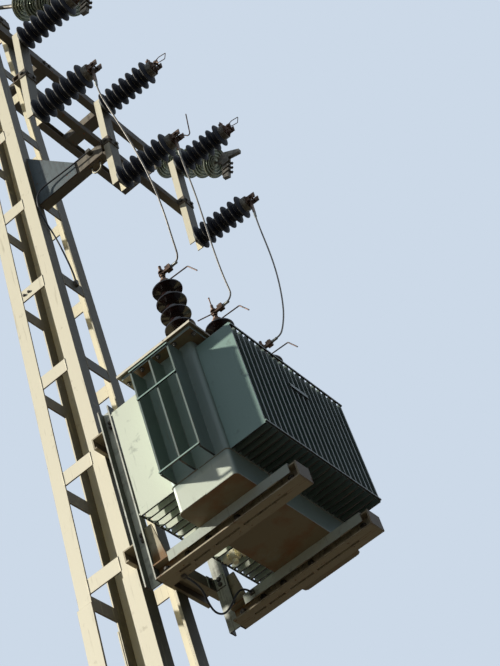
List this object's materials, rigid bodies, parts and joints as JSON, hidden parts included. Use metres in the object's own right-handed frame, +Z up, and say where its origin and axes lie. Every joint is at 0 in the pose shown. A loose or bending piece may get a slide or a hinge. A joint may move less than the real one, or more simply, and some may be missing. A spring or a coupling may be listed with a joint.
{
  "type": "pole mounted transformer",
  "caption": "Battened steel pole with a finned distribution transformer on a bracket, leaning fuse insulators, a crossarm with glass strain strings and hanging drop leads.",
  "frame": {"origin": "on the ground, at the centre line of the pole, under its four legs", "axes": "+Z up the pole; +X from the pole towards the transformer; +Y along the crossarm and the transformer's long side"},
  "size_m": [1.5102, 3.3998, 11.3],
  "materials": {
    "pole_paint": "weathered cream paint, matt",
    "dark_steel": "old dark paint with rust, matt",
    "beam_steel": "weathered grey paint with rust, matt",
    "transformer_paint": "grey-green paint, satin, stained",
    "cover_paint": "stained beige paint, rusty at its edge",
    "galvanised_steel": "dull galvanised",
    "brown_porcelain": "dark brown glaze, glossy",
    "polymer_insulator": "blue-black polymer, satin",
    "toughened_glass": "pale green, glossy",
    "copper": "tarnished copper alloy",
    "brass_valve": "dull brass",
    "cable_sheath": "black, matt",
    "bare_lead": "stranded, dull"
  },
  "bodies": {
    "root": {"beam_end_plates": "beam_steel", "beam_packings": "beam_steel", "beams": "beam_steel", "bracket_arm": "dark_steel", "bracket_knee": "dark_steel", "cable_clips": "galvanised_steel", "cross_members": "beam_steel", "crossarm_channels": "dark_steel", "crossarm_ends": "dark_steel", "crossarm_ties": "dark_steel", "drain_valve": "brass_valve", "drop_lead_1": "bare_lead", "drop_lead_2": "bare_lead", "drop_lead_3": "bare_lead", "earth_cable": "cable_sheath", "fin_stays": "transformer_paint", "fins_ends": "transformer_paint", "fins_long_sides": "transformer_paint", "fuse_arc_horn": "copper", "fuse_arm": "dark_steel", "fuse_arm_cable": "cable_sheath", "fuse_base_straps": "dark_steel", "fuse_bases": "pole_paint", "fuse_contacts": "copper", "fuse_insulator_caps": "galvanised_steel", "fuse_insulator_feet": "galvanised_steel", "fuse_insulators": "polymer_insulator", "glass_discs": "toughened_glass", "head_strap": "dark_steel", "hook": "galvanised_steel", "hook_bar": "dark_steel", "knee_plates": "beam_steel", "lifting_lugs": "transformer_paint", "lv_bushings": "brown_porcelain", "lv_studs": "copper", "mv_arcing_horns": "galvanised_steel", "mv_bushing_feet": "galvanised_steel", "mv_bushings": "brown_porcelain", "mv_terminals": "copper", "oil_filler": "transformer_paint", "pole_base_plate": "pole_paint", "pole_battens_front_back": "pole_paint", "pole_battens_sides": "pole_paint", "pole_lower_legs": "pole_paint", "pole_upper_legs": "pole_paint", "skids": "beam_steel", "string_clamps": "galvanised_steel", "string_fittings": "galvanised_steel", "string_tabs": "galvanised_steel", "tank_body": "transformer_paint", "tank_cover": "cover_paint", "upright_cleats": "beam_steel", "uprights": "beam_steel"}
  },
  "joints": []
}
